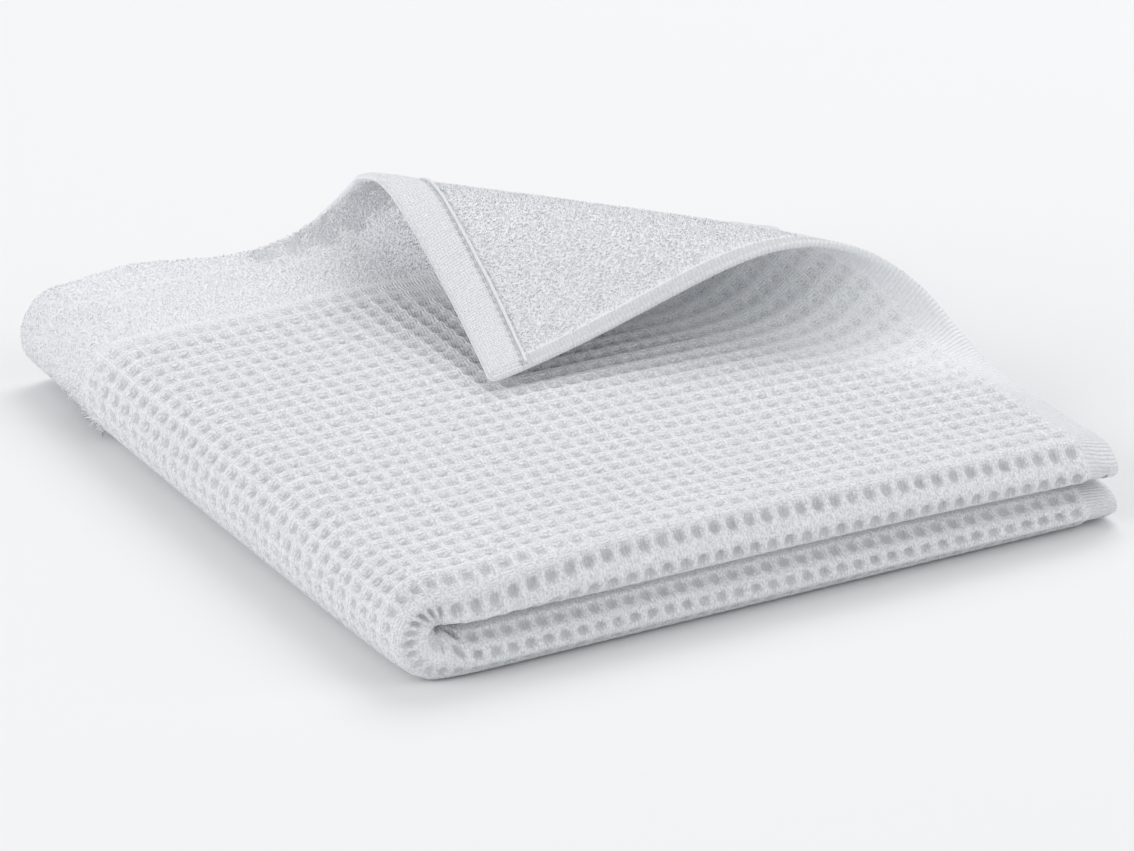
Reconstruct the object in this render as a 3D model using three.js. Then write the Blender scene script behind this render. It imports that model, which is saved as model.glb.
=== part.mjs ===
// Guest towel: one woven sheet, waffle weave on the face and terry loops on the back.
//
// The sheet is folded in three along its length, then in half across its width, so it lies as
// two bundles of three layers. One free corner of the top layer is lifted and curled back
// towards the front, and its tip rests on the stack. Everything is in millimetres, +Z up. The
// towel lies on z = 0, and the origin is the centre of its footprint.
//
//   +X  across the towel, from the rounded spine fold to the open side with the selvedges
//   +Y  along the towel, from the rounded front folds to the hemmed back edge

import * as THREE from 'three';

// ---- Driving dimensions -------------------------------------------------------------------

const FOOTPRINT_X = 144.0; // spine fold to selvedge
const FOOTPRINT_Y = 164.6; // front fold to hem
const CLOTH_THICKNESS = 2.7; // waffle face to the tips of the terry loops
const LAYER_PITCH = 3.25; // centre to centre of two neighbouring layers of a bundle
const BUNDLE_GAP = 0.6; // between the two bundles
const LAYERS_PER_BUNDLE = 3;

const HALF_CLOTH = CLOTH_THICKNESS / 2;
const BUNDLE_HEIGHT = (LAYERS_PER_BUNDLE - 1) * LAYER_PITCH + CLOTH_THICKNESS;
const STACK_HEIGHT = 2 * BUNDLE_HEIGHT + BUNDLE_GAP;

// The front fold joins the outer and middle layers round the inner one, and the back fold joins
// the middle and inner layers. The spine fold turns a whole bundle over.
const FRONT_FOLD_RADIUS = LAYER_PITCH;
const BACK_FOLD_RADIUS = LAYER_PITCH / 2;
const SPINE_RADIUS = STACK_HEIGHT / 2;

const SELVEDGE_X = FOOTPRINT_X / 2;
const SPINE_X = SPINE_RADIUS - FOOTPRINT_X / 2;
const FRONT_Y = FRONT_FOLD_RADIUS + HALF_CLOTH - FOOTPRINT_Y / 2;
const HEM_Y = 77.2; // hem on the open side
const HEM_SKEW = FOOTPRINT_Y / 2 - HEM_Y; // how much further back the hem lies at the spine
const HEM_SKEW_X = { none: -27, full: -58 };
const HEM_SKEW_REACH = 60; // how far from the hem the skew is taken up
const BACK_FOLD_Y = 73.0; // back fold at the spine
const BACK_FOLD_SKEW = 20.0; // how much further forward it lies at the selvedge
const INNER_END_Y = FRONT_Y + 9.0; // inner hemmed end, just behind the front fold

// Heights of the layers' middle surfaces in a bundle, from the bundle's inner face.
const MIDDLE_LAYER = HALF_CLOTH;
const INNER_LAYER = HALF_CLOTH + LAYER_PITCH;
const OUTER_LAYER = HALF_CLOTH + 2 * LAYER_PITCH;

// How the stack's height varies: it thins towards the selvedges and the hem, where the weave is
// flat, and puffs up over the front folds.
const THINNING = { fromX: -12, linear: 0.6, curved: 2.5 };
const SELVEDGE_DROP = { width: 7, depth: 1.1 };
const HEM_DROP = { width: 18, depth: 2.3 };
const CORNER_DROP = { depth: 2.4, reach: 34 };
const FRONT_PUFF = { reach: 7.5, height: 1.0 };
const FRONT_SQUARE = 30; // the folds stay square this far from the front
const FRONT_TAPER = 0.032; // share by which the stack is narrower at the front than at the hem
const SPINE_DRAW = { depth: 2.2, acrossReach: 9, alongReach: 14 }; // the folded spine's front end

// The curled corner. The cloth leaves the stack along the lift line, rolls over and comes back
// down to the tip. Its section across that line is given by how sharply it bends.
const LIFT_DISTANCE = 87.4; // lift line to corner, on the flat cloth
const LIFT_ANGLE = 0.708; // radians from X of the corner's way back over the stack
const CORNER_BENDS = [
  { along: 0.0, perMm: 0.0 },
  { along: 8.3, perMm: 0.044 },
  { along: 16.6, perMm: 0.108 },
  { along: 25.0, perMm: 0.116 },
  { along: 33.3, perMm: 0.095 },
  { along: 43.7, perMm: 0.048 },
  { along: 57.2, perMm: -0.005 },
  { along: 72.8, perMm: -0.016 },
  { along: 93.6, perMm: -0.018 },
];
const BEND_STEP = 0.5; // step in which the section is added up
const CORNER_GATHER = 0.0032; // share by which the cloth draws in along the roll, per mm
const CORNER_SHEAR = { share: 0.106, from: 15.6 };
const HEM_LIFT = { height: 5.2, from: 20.8, over: 62.4, centre: 6.2, reach: 16.6 };

// Where the sheet's grid lines run. Steps are finer where the cloth bends.
const SPINE_STEPS = 12;
const FRONT_FOLD_STEPS = 8;
const BACK_FOLD_STEPS = 5;
const CLOTH_COLOUR = 0xe9ebee;

// ---- Small helpers ------------------------------------------------------------------------

const clamp01 = (value) => Math.min(1, Math.max(0, value));

const smooth = (value) => {
  const t = clamp01(value);
  return t * t * (3 - 2 * t);
};

const bell = (value) => Math.exp(-value * value);

function spread(start, end, steps) {
  return Array.from({ length: steps + 1 }, (_, k) => start + ((end - start) * k) / steps);
}

// ---- The section along the towel: folded in three -----------------------------------------

// Each station is a place along the sheet, from the outer hem to the inner one: a middle point
// (y, height in the bundle) and the direction that the waffle face looks in.
function lengthStations() {
  const outer = [
    HEM_Y, HEM_Y - 4, ...spread(HEM_Y - 10, -10, 13), ...spread(-26, FRONT_Y + 22, 2),
    FRONT_Y + 14, FRONT_Y + 7, FRONT_Y,
  ];
  const middle = [
    FRONT_Y + 7, FRONT_Y + 14, FRONT_Y + 22, ...spread(-26, 56, 4), BACK_FOLD_Y,
  ];
  const inner = [...spread(56, -26, 4), FRONT_Y + 22, FRONT_Y + 14, INNER_END_Y];
  const flat = (y, height, waffleUp, isOuter) => ({ y, height, ny: 0, nz: waffleUp, isOuter });
  const turn = (centreY, centreHeight, radius, angle) => ({
    y: centreY + radius * Math.sin(angle),
    height: centreHeight + radius * Math.cos(angle),
    ny: Math.sin(angle),
    nz: Math.cos(angle),
    isOuter: false,
  });
  const frontAngles = spread(0, -Math.PI, FRONT_FOLD_STEPS).slice(1);
  const backAngles = spread(Math.PI, 0, BACK_FOLD_STEPS).slice(1);
  return [
    ...outer.map((y) => flat(y, OUTER_LAYER, 1, true)),
    ...frontAngles.map((a) => turn(FRONT_Y, OUTER_LAYER - FRONT_FOLD_RADIUS, FRONT_FOLD_RADIUS, a)),
    ...middle.map((y) => flat(y, MIDDLE_LAYER, -1, false)),
    ...backAngles.map((a) => turn(BACK_FOLD_Y, MIDDLE_LAYER + BACK_FOLD_RADIUS, BACK_FOLD_RADIUS, a)),
    ...inner.map((y) => flat(y, INNER_LAYER, 1, false)),
  ];
}

// ---- The section across the towel: folded in half -----------------------------------------

// Each station is a place across the sheet, from the lower bundle's selvedge, round the spine,
// to the upper bundle's selvedge. The angle is 0 at the spine's outermost line.
function widthStations() {
  const edge = [SELVEDGE_X, SELVEDGE_X - 3.5, SELVEDGE_X - 7];
  const lower = [...edge, ...spread(50, SPINE_X + 10, 4), SPINE_X];
  const upper = [SPINE_X + 10, ...spread(-38, 59, 16), ...edge.toReversed()];
  const quarter = Math.PI / 2;
  return [
    ...lower.map((x) => ({ x, angle: -quarter })),
    ...spread(-quarter, quarter, SPINE_STEPS).slice(1).map((angle) => ({ x: SPINE_X, angle })),
    ...upper.map((x) => ({ x, angle: quarter })),
  ];
}

// ---- The curled corner --------------------------------------------------------------------

// The roll's section, added up from its bends: how far out, how far up and how far turned the
// cloth is at each step from the lift line.
function cornerSection() {
  const last = CORNER_BENDS[CORNER_BENDS.length - 1].along;
  const section = [{ out: 0, up: 0, turn: 0 }];
  for (let along = BEND_STEP / 2; along < last; along += BEND_STEP) {
    const next = CORNER_BENDS.findIndex((row) => row.along > along);
    const [a, b] = [CORNER_BENDS[next - 1], CORNER_BENDS[next]];
    const share = (along - a.along) / (b.along - a.along);
    const bend = a.perMm + (b.perMm - a.perMm) * share;
    const before = section[section.length - 1];
    const middle = before.turn + (bend * BEND_STEP) / 2;
    section.push({
      out: before.out + Math.cos(middle) * BEND_STEP,
      up: before.up + Math.sin(middle) * BEND_STEP,
      turn: before.turn + bend * BEND_STEP,
    });
  }
  return section;
}

const SECTION = cornerSection();
const BACK_WAY = new THREE.Vector2(-Math.cos(LIFT_ANGLE), -Math.sin(LIFT_ANGLE));
const ROLL_WAY = new THREE.Vector2(BACK_WAY.y, -BACK_WAY.x);
const LIFT_FOOT = new THREE.Vector2(SELVEDGE_X, HEM_Y).addScaledVector(BACK_WAY, LIFT_DISTANCE);

function sectionAt(along) {
  const place = Math.min(along / BEND_STEP, SECTION.length - 1.001);
  const k = Math.floor(place);
  const mix = (key) => SECTION[k][key] + (SECTION[k + 1][key] - SECTION[k][key]) * (place - k);
  return { out: mix('out'), up: mix('up'), turn: mix('turn') };
}

// A point of the top layer at (x, y), `offset` above its middle surface, once curled.
function curled(x, y, offset) {
  const fromFoot = new THREE.Vector2(x, y).sub(LIFT_FOOT);
  const past = -fromFoot.dot(BACK_WAY);
  const sideways = fromFoot.dot(ROLL_WAY);
  const raised = HEM_LIFT.height * clamp01((sideways - HEM_LIFT.from) / HEM_LIFT.over)
    * bell((past - HEM_LIFT.centre) / HEM_LIFT.reach);
  const along = Math.max(past, 0);
  const { out, up, turn } = sectionAt(along);
  const reach = (past > 0 ? out : past) - offset * Math.sin(turn);
  const gathered = sideways * (1 - CORNER_GATHER * along)
    - (CORNER_SHEAR.share * along * along) / (along + CORNER_SHEAR.from);
  const plan = LIFT_FOOT.clone().addScaledVector(BACK_WAY, -reach).addScaledVector(ROLL_WAY, gathered);
  return { x: plan.x, y: plan.y, rise: up + raised + offset * Math.cos(turn) };
}

// ---- The whole shape ----------------------------------------------------------------------

// The height of the resting stack at a place, as a share of its nominal height.
function heightShare(x, y) {
  const across = clamp01((x - THINNING.fromX) / (SELVEDGE_X - THINNING.fromX));
  const thinner = THINNING.linear * across + THINNING.curved * across * across
    + SELVEDGE_DROP.depth * smooth(1 - (SELVEDGE_X - x) / SELVEDGE_DROP.width)
    + HEM_DROP.depth * smooth(1 - (HEM_Y - y) / HEM_DROP.width)
    + CORNER_DROP.depth * bell(Math.hypot(x - SELVEDGE_X, y - HEM_Y) / CORNER_DROP.reach);
  const puffed = FRONT_PUFF.height * bell((y - FRONT_Y) / FRONT_PUFF.reach);
  return (STACK_HEIGHT - thinner + puffed) / STACK_HEIGHT;
}

// How far back a place on the sheet lies off the square: the hem runs out towards the spine,
// and the inner layers' back fold runs in towards the selvedge.
function skew(x, along) {
  if (along.isOuter) {
    const side = smooth((x - HEM_SKEW_X.none) / (HEM_SKEW_X.full - HEM_SKEW_X.none));
    return HEM_SKEW * side * smooth(1 - (HEM_Y - along.y) / HEM_SKEW_REACH);
  }
  const side = clamp01((x - SPINE_X) / (SELVEDGE_X - SPINE_X));
  const back = smooth((along.y - FRONT_Y - FRONT_SQUARE) / (BACK_FOLD_Y - FRONT_Y - FRONT_SQUARE));
  return -BACK_FOLD_SKEW * side * side * back;
}

// The stack narrows towards the front, and the spine's thick front end is drawn back a little.
function settled(x, y, z) {
  const forward = clamp01((HEM_Y - y) / (HEM_Y - FRONT_Y));
  const drawn = SPINE_DRAW.depth * bell((x + FOOTPRINT_X / 2) / SPINE_DRAW.acrossReach)
    * bell((y + FOOTPRINT_Y / 2) / SPINE_DRAW.alongReach);
  return [x * (1 - FRONT_TAPER * forward * forward), y + drawn, z];
}

function foldedPoint(across, along, side) {
  const offset = side * HALF_CLOTH;
  const isTop = across.angle === Math.PI / 2;
  const y = along.y + along.ny * offset + skew(across.x, along);
  const middle = STACK_HEIGHT / 2;
  if (isTop && along.isOuter) {
    const point = curled(across.x, y, offset);
    const rest = (middle + BUNDLE_GAP / 2 + along.height) * heightShare(point.x, point.y);
    return settled(point.x, point.y, rest + point.rise);
  }
  const radius = BUNDLE_GAP / 2 + along.height + along.nz * offset;
  const x = across.x - radius * Math.cos(across.angle);
  const z = (middle + radius * Math.sin(across.angle)) * heightShare(x, y);
  return settled(x, y, z);
}

// A closed sheet: its waffle face, its terry face, and a wall round its four edges.
function sheetGeometry() {
  const acrossAll = widthStations();
  const alongAll = lengthStations();
  const rows = alongAll.length;
  const faceSize = acrossAll.length * rows;
  const positions = [];
  for (const side of [1, -1]) {
    for (const across of acrossAll) {
      for (const along of alongAll) positions.push(...foldedPoint(across, along, side));
    }
  }
  const at = (i, j, face) => face * faceSize + i * rows + j;
  const triangles = [];
  const quad = (a, b, c, d) => triangles.push(a, b, c, a, c, d);
  for (let i = 0; i + 1 < acrossAll.length; i += 1) {
    for (let j = 0; j + 1 < rows; j += 1) {
      quad(at(i, j, 0), at(i, j + 1, 0), at(i + 1, j + 1, 0), at(i + 1, j, 0));
      quad(at(i, j, 1), at(i + 1, j, 1), at(i + 1, j + 1, 1), at(i, j + 1, 1));
    }
  }
  for (let i = 0; i + 1 < acrossAll.length; i += 1) {
    quad(at(i, 0, 1), at(i, 0, 0), at(i + 1, 0, 0), at(i + 1, 0, 1));
    quad(at(i, rows - 1, 0), at(i, rows - 1, 1), at(i + 1, rows - 1, 1), at(i + 1, rows - 1, 0));
  }
  const last = acrossAll.length - 1;
  for (let j = 0; j + 1 < rows; j += 1) {
    quad(at(0, j, 0), at(0, j, 1), at(0, j + 1, 1), at(0, j + 1, 0));
    quad(at(last, j, 1), at(last, j, 0), at(last, j + 1, 0), at(last, j + 1, 1));
  }
  const geometry = new THREE.BufferGeometry();
  geometry.setAttribute('position', new THREE.Float32BufferAttribute(positions, 3));
  geometry.setIndex(triangles);
  geometry.computeVertexNormals();
  return geometry;
}

function towel() {
  const material = new THREE.MeshStandardMaterial({
    color: CLOTH_COLOUR, roughness: 0.95, metalness: 0.0,
  });
  const mesh = new THREE.Mesh(sheetGeometry(), material);
  mesh.name = 'towel';
  return mesh;
}

const part = new THREE.Group();
part.add(towel());

export default part;
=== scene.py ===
"""Guest towel: the visible cloth, its terry loops and hems, and the stage it is shown on.

The towel is one woven sheet, waffle weave on its face and terry loops on its back, folded in
three along its length and in half across its width, with one corner curled over. Everything is
built flat first, in millimetres on the sheet, and then carried through one folding map.
"""

import math

import bmesh
import bpy
import numpy as np
from mathutils import Matrix, Vector


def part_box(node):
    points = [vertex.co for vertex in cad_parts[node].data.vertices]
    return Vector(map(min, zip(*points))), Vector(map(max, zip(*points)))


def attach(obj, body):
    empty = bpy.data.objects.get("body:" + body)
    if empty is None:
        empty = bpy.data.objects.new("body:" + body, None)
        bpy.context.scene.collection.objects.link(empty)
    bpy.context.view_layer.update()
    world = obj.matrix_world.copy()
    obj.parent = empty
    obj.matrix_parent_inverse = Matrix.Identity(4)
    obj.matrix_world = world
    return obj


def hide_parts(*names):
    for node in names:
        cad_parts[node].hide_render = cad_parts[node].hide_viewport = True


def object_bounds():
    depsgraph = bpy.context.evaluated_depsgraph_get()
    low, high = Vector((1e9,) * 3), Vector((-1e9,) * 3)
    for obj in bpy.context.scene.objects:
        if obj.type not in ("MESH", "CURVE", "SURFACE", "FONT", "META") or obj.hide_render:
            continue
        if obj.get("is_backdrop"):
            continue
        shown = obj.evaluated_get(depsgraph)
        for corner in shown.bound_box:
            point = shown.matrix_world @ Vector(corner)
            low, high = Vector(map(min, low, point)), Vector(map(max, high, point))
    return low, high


bl_info = {
    "name": "Guest towel",
    "version": (1, 0, 0),
    "blender": (4, 5, 0),
    "location": "View3D > Sidebar > Towel",
    "description": "A folded waffle and terry guest towel, built piece by piece",
    "category": "Object",
}

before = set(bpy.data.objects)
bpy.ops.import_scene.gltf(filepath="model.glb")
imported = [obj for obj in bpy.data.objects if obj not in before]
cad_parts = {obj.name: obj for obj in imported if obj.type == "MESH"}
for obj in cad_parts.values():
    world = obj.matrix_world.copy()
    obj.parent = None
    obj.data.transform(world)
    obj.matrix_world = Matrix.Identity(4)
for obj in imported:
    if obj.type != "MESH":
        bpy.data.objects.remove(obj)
CAD_LOW, CAD_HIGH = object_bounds()

MM = 0.001
BOX_LOW, BOX_HIGH = (np.array(corner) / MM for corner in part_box("towel"))

# ---- The folded sheet, in millimetres ----

FOOTPRINT_X = BOX_HIGH[0] - BOX_LOW[0]
FOOTPRINT_Y = BOX_HIGH[1] - BOX_LOW[1]
HALF_CLOTH = 1.35
LAYER_PITCH = 3.25
BUNDLE_GAP = 0.6
BUNDLE_HEIGHT = 2 * (LAYER_PITCH + HALF_CLOTH)
STACK_HEIGHT = 2 * BUNDLE_HEIGHT + BUNDLE_GAP
FRONT_RADIUS = LAYER_PITCH
BACK_RADIUS = LAYER_PITCH / 2
SPINE_RADIUS = STACK_HEIGHT / 2
SPINE_RAISED = 16.0  # how far down the spine the curl's lift still pulls the cloth
SELVEDGE_X = FOOTPRINT_X / 2
SPINE_X = SPINE_RADIUS - FOOTPRINT_X / 2
FRONT_Y = FRONT_RADIUS + HALF_CLOTH - FOOTPRINT_Y / 2
HEM_Y = 77.2
HEM_SKEW = FOOTPRINT_Y / 2 - HEM_Y
HEM_SKEW_NONE, HEM_SKEW_FULL, HEM_SKEW_REACH = -27.0, -58.0, 60.0
BACK_Y = 73.0
BACK_SKEW = 20.0
INNER_END_Y = FRONT_Y + 9.0
MIDDLE_LAYER = HALF_CLOTH
INNER_LAYER = HALF_CLOTH + LAYER_PITCH
OUTER_LAYER = HALF_CLOTH + 2 * LAYER_PITCH
FRONT_SQUARE = 30.0
FRONT_TAPER = 0.032

# The stack thins towards the open side, drops at its edges and puffs up over the front folds.
THIN_FROM_X, THIN_LINEAR, THIN_CURVED = -12.0, 0.6, 2.5
SELVEDGE_DROP, SELVEDGE_DROP_REACH = 1.1, 7.0
HEM_DROP, HEM_DROP_REACH = 2.3, 18.0
CORNER_DROP, CORNER_DROP_REACH = 2.4, 34.0
FRONT_PUFF_REACH = 7.5  # it is 1 mm high
SPINE_DRAWN, DRAWN_ACROSS, DRAWN_ALONG = 2.2, 9.0, 14.0  # the spine's front end

# The curled corner: how sharply it bends (per mm) at each distance from the lift line.
LIFT_DISTANCE = 87.4
LIFT_ANGLE = 0.708
BEND_ALONG = (0.0, 8.3, 16.6, 25.0, 33.3, 43.7, 57.2, 72.8, 93.6)
BEND_PER_MM = (0.0, 0.044, 0.108, 0.116, 0.095, 0.048, -0.005, -0.016, -0.018)
BEND_STEP = 0.25
GATHER_PER_MM = 0.0032
SHEAR_SHARE, SHEAR_FROM = 0.106, 15.6
# The hem end of the roll stands higher: by how much, and from where along it, over what length.
HEM_LIFT, HEM_LIFT_FROM, HEM_LIFT_OVER = 5.2, 20.8, 62.4
HEM_LIFT_CENTRE, HEM_LIFT_REACH = 6.2, 16.6

# Lengths of the flat sheet's parts, measured on the waffle face.
FLAT_ACROSS = SELVEDGE_X - SPINE_X
SPINE_ARC = math.pi * SPINE_RADIUS
WIDTH = 2 * FLAT_ACROSS + SPINE_ARC
OUTER_RUN = HEM_Y - FRONT_Y
FRONT_ARC = math.pi * (FRONT_RADIUS + HALF_CLOTH)
MIDDLE_RUN = BACK_Y - FRONT_Y
BACK_ARC = math.pi * BACK_RADIUS
INNER_RUN = BACK_Y - INNER_END_Y
LENGTH = OUTER_RUN + FRONT_ARC + MIDDLE_RUN + BACK_ARC + INNER_RUN
UPPER_START = FLAT_ACROSS + SPINE_ARC

# The woven pattern.
CELL_ACROSS, CELL_ALONG = 3.432, 4.29
SELVEDGE_WIDTH = 3.53  # from the edge to the first whole cell
FACE_SELVEDGE = 6.3  # as it shows on the face
BACK_SELVEDGE = 4.2  # bare of loops on the back
CORNER_ROUND = 2.4
HEM_LAP = 1.4
TERRY_BAND = 30.86  # from the end to the first row of cells
HEM_BAND = 9.4
MASK_EDGE, MASK_BLEND = 0.3, 0.8  # how softly one weave runs into the next
COLUMNS = round((WIDTH - 2 * SELVEDGE_WIDTH) / CELL_ACROSS)


# ---- Small helpers ----


def smooth(value):
    t = np.clip(value, 0.0, 1.0)
    return t * t * (3 - 2 * t)


def bell(value):
    return np.exp(-np.square(value))


def from_edges(s, t):
    """Distances on the flat sheet from the nearer selvedge and from the nearer end."""
    return np.minimum(s, WIDTH - s), np.minimum(t, LENGTH - t)


def hump(x, y, size, at_x, at_y, reach_x, reach_y):
    """A soft rise of the given size round one place."""
    return size * bell((x - at_x) / reach_x) * bell((y - at_y) / reach_y)


# ---- The folding map ----


def added_up(rates):
    return np.concatenate([[0.0], np.cumsum(rates * BEND_STEP)])


def corner_section():
    """The curl's section, added up from its bends: distance along, out, up and turn."""
    along = np.arange(0.0, BEND_ALONG[-1] + BEND_STEP, BEND_STEP)
    bend = np.interp(along, BEND_ALONG, BEND_PER_MM)
    turn = added_up((bend[1:] + bend[:-1]) / 2)
    middle = (turn[1:] + turn[:-1]) / 2
    return along, added_up(np.cos(middle)), added_up(np.sin(middle)), turn


SECTION = corner_section()
BACK_WAY = np.array([-math.cos(LIFT_ANGLE), -math.sin(LIFT_ANGLE)])
ROLL_WAY = np.array([BACK_WAY[1], -BACK_WAY[0]])
LIFT_FOOT = np.array([SELVEDGE_X, HEM_Y]) + BACK_WAY * LIFT_DISTANCE


def lift_place(x, y):
    """Distance past the lift line, and sideways along the roll."""
    dx, dy = x - LIFT_FOOT[0], y - LIFT_FOOT[1]
    past = -(dx * BACK_WAY[0] + dy * BACK_WAY[1])
    return past, dx * ROLL_WAY[0] + dy * ROLL_WAY[1]


def curled(x, y, offset):
    """x, y and rise of places on the layer that is lifted and curled over."""
    past, sideways = lift_place(x, y)
    raised = HEM_LIFT * np.clip((sideways - HEM_LIFT_FROM) / HEM_LIFT_OVER, 0, 1)
    raised = raised * bell((past - HEM_LIFT_CENTRE) / HEM_LIFT_REACH)
    along = np.maximum(past, 0)
    out, up, turn = (np.interp(along, SECTION[0], column) for column in SECTION[1:])
    reach = np.where(past > 0, out, past) - offset * np.sin(turn)
    sheared = SHEAR_SHARE * along**2 / (along + SHEAR_FROM)
    gathered = sideways * (1 - GATHER_PER_MM * along) - sheared
    px = LIFT_FOOT[0] - BACK_WAY[0] * reach + ROLL_WAY[0] * gathered
    py = LIFT_FOOT[1] - BACK_WAY[1] * reach + ROLL_WAY[1] * gathered
    return px, py, up + raised + offset * np.cos(turn)


def height_share(x, y):
    """The stack's height at a place, as a share of its full height."""
    across = np.clip((x - THIN_FROM_X) / (SELVEDGE_X - THIN_FROM_X), 0, 1)
    thinner = (
        THIN_LINEAR * across
        + THIN_CURVED * across**2
        + SELVEDGE_DROP * smooth(1 - (SELVEDGE_X - x) / SELVEDGE_DROP_REACH)
        + HEM_DROP * smooth(1 - (HEM_Y - y) / HEM_DROP_REACH)
        + CORNER_DROP * bell(np.hypot(x - SELVEDGE_X, y - HEM_Y) / CORNER_DROP_REACH)
    )
    puff = bell((y - FRONT_Y) / FRONT_PUFF_REACH)
    return (STACK_HEIGHT - thinner + puff) / STACK_HEIGHT


def across_place(s):
    """Where a distance from the lower selvedge lies: x, and the turn round the spine."""
    upper = np.where(s > UPPER_START, SPINE_X + s - UPPER_START, SPINE_X)
    x = np.where(s < FLAT_ACROSS, SELVEDGE_X - s, upper)
    angle = -math.pi / 2 + math.pi * np.clip((s - FLAT_ACROSS) / SPINE_ARC, 0, 1)
    return x, angle


def along_place(t):
    """Where a distance from the outer hem lies in a bundle: y, height, the face's direction
    in y and z, and whether it is on the outer layer."""
    ends = np.cumsum([OUTER_RUN, FRONT_ARC, MIDDLE_RUN, BACK_ARC])
    zones = [t <= end for end in ends]
    bend = -math.pi * (t - ends[0]) / FRONT_ARC
    turn = math.pi * (1 - (t - ends[2]) / BACK_ARC)
    # The outer layer, front fold, middle layer, back fold and inner layer.
    columns = (
        (
            HEM_Y - t,
            FRONT_Y + FRONT_RADIUS * np.sin(bend),
            FRONT_Y + t - ends[1],
            BACK_Y + BACK_RADIUS * np.sin(turn),
            BACK_Y - (t - ends[3]),
        ),
        (
            OUTER_LAYER,
            OUTER_LAYER - FRONT_RADIUS + FRONT_RADIUS * np.cos(bend),
            MIDDLE_LAYER,
            MIDDLE_LAYER + BACK_RADIUS + BACK_RADIUS * np.cos(turn),
            INNER_LAYER,
        ),
        (0.0, np.sin(bend), 0.0, np.sin(turn), 0.0),
        (1.0, np.cos(bend), -1.0, np.cos(turn), 1.0),
    )
    y, height, ny, nz = (np.select(zones, column[:-1], column[-1]) for column in columns)
    return y, height, ny, nz, zones[0]


def folded(s, t, offset):
    """Places of the sheet's points: s across from the lower selvedge, t along from the outer
    hem, offset towards the waffle face. Returns metres."""
    x0, angle = across_place(s)
    y0, height, ny, nz, outer = along_place(t)
    hem_side = smooth((x0 - HEM_SKEW_NONE) / (HEM_SKEW_FULL - HEM_SKEW_NONE))
    hem_skew = HEM_SKEW * hem_side * smooth(1 - (HEM_Y - y0) / HEM_SKEW_REACH)
    side = np.clip((x0 - SPINE_X) / (SELVEDGE_X - SPINE_X), 0, 1)
    back = smooth((y0 - FRONT_Y - FRONT_SQUARE) / (BACK_Y - FRONT_Y - FRONT_SQUARE))
    y = y0 + ny * offset + np.where(outer, hem_skew, -BACK_SKEW * side**2 * back)
    top = outer & (s >= UPPER_START)
    cx, cy, rise = curled(x0, y, offset)
    half_gap = BUNDLE_GAP / 2
    radius = half_gap + height + nz * offset
    sx = x0 - radius * np.cos(angle)
    sz = (STACK_HEIGHT / 2 + radius * np.sin(angle)) * height_share(sx, y)
    pulled_up = (rise - offset) * smooth(1 - (UPPER_START - s) / SPINE_RAISED)
    sz = sz + np.where(outer, pulled_up, 0)
    tz = (STACK_HEIGHT / 2 + half_gap + height) * height_share(cx, cy) + rise
    x, y, z = np.where(top, cx, sx), np.where(top, cy, y), np.where(top, tz, sz)
    forward = np.clip((HEM_Y - y) / (HEM_Y - FRONT_Y), 0, 1)
    drawn = hump(x, y, SPINE_DRAWN, -FOOTPRINT_X / 2, -FOOTPRINT_Y / 2, DRAWN_ACROSS, DRAWN_ALONG)
    return np.stack([x * (1 - FRONT_TAPER * forward**2), y + drawn, z], axis=-1) * MM


# ---- Where the sheet's grid lines run ----

HEM_LINES = (0.0, 0.6, 1.6, 3.4, 5.4, 7.4, 8.6, 9.4, 10.2, 11.6)
TERRY_STEPS = 10  # lines from there to the waffle
WAFFLE_ROWS = 28  # rows of the usual length, up to the front fold
FOLD_ROWS = (5.6, 5.6, 4.9, 4.4)  # rows that the front fold pulls open
HIDDEN_STEP = 8.7  # rows of the inner layers are two cells long
BACK_STEPS = 5
INNER_HEM_STEPS = 4
SELVEDGE_LINES = (0.0, 1.1, 2.3)
# A cell's grid runs in rings: the share of the way to the cell's border, and each ring's half
# width across and along the sheet, in cells.
RING_SHARE = (0.0, 0.3333, 0.6667, 1.0)
RING_ACROSS = (0.0, 0.2, 0.37, 0.5)
RING_ALONG = (0.0, 0.17, 0.34, 0.5)
OVAL_BORDER = 0.4  # the outer share of a cell over which the oval runs out into the square
LONG_BORDER = 0.333  # the same for the rows that are longer than usual


def lines_across():
    """Places of the grid lines that run along the sheet."""
    columns = SELVEDGE_WIDTH + CELL_ACROSS * np.arange(COLUMNS + 1)
    columns += (WIDTH - columns[-1] - SELVEDGE_WIDTH) / 2
    edge = np.array(SELVEDGE_LINES)
    return np.concatenate([edge, columns, WIDTH - edge[::-1]])


def lines_along():
    """Places of the grid lines that run across the sheet."""
    terry = np.linspace(HEM_LINES[-1], TERRY_BAND, TERRY_STEPS + 1)[1:]
    rows = TERRY_BAND + CELL_ALONG * np.arange(1, WAFFLE_ROWS + 1)
    fold = rows[-1] + np.cumsum(FOLD_ROWS)
    back = OUTER_RUN + FRONT_ARC + MIDDLE_RUN
    middle = np.linspace(fold[-1], back, round((back - fold[-1]) / HIDDEN_STEP) + 1)[1:]
    turn = np.linspace(back, back + BACK_ARC, BACK_STEPS + 1)[1:]
    band = LENGTH - TERRY_BAND
    inner = np.linspace(turn[-1], band, round((band - turn[-1]) / HIDDEN_STEP) + 1)[1:]
    end = np.linspace(band, LENGTH, INNER_HEM_STEPS + 1)[1:]
    return np.concatenate([HEM_LINES, terry, rows, fold, middle, turn, inner, end])


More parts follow.
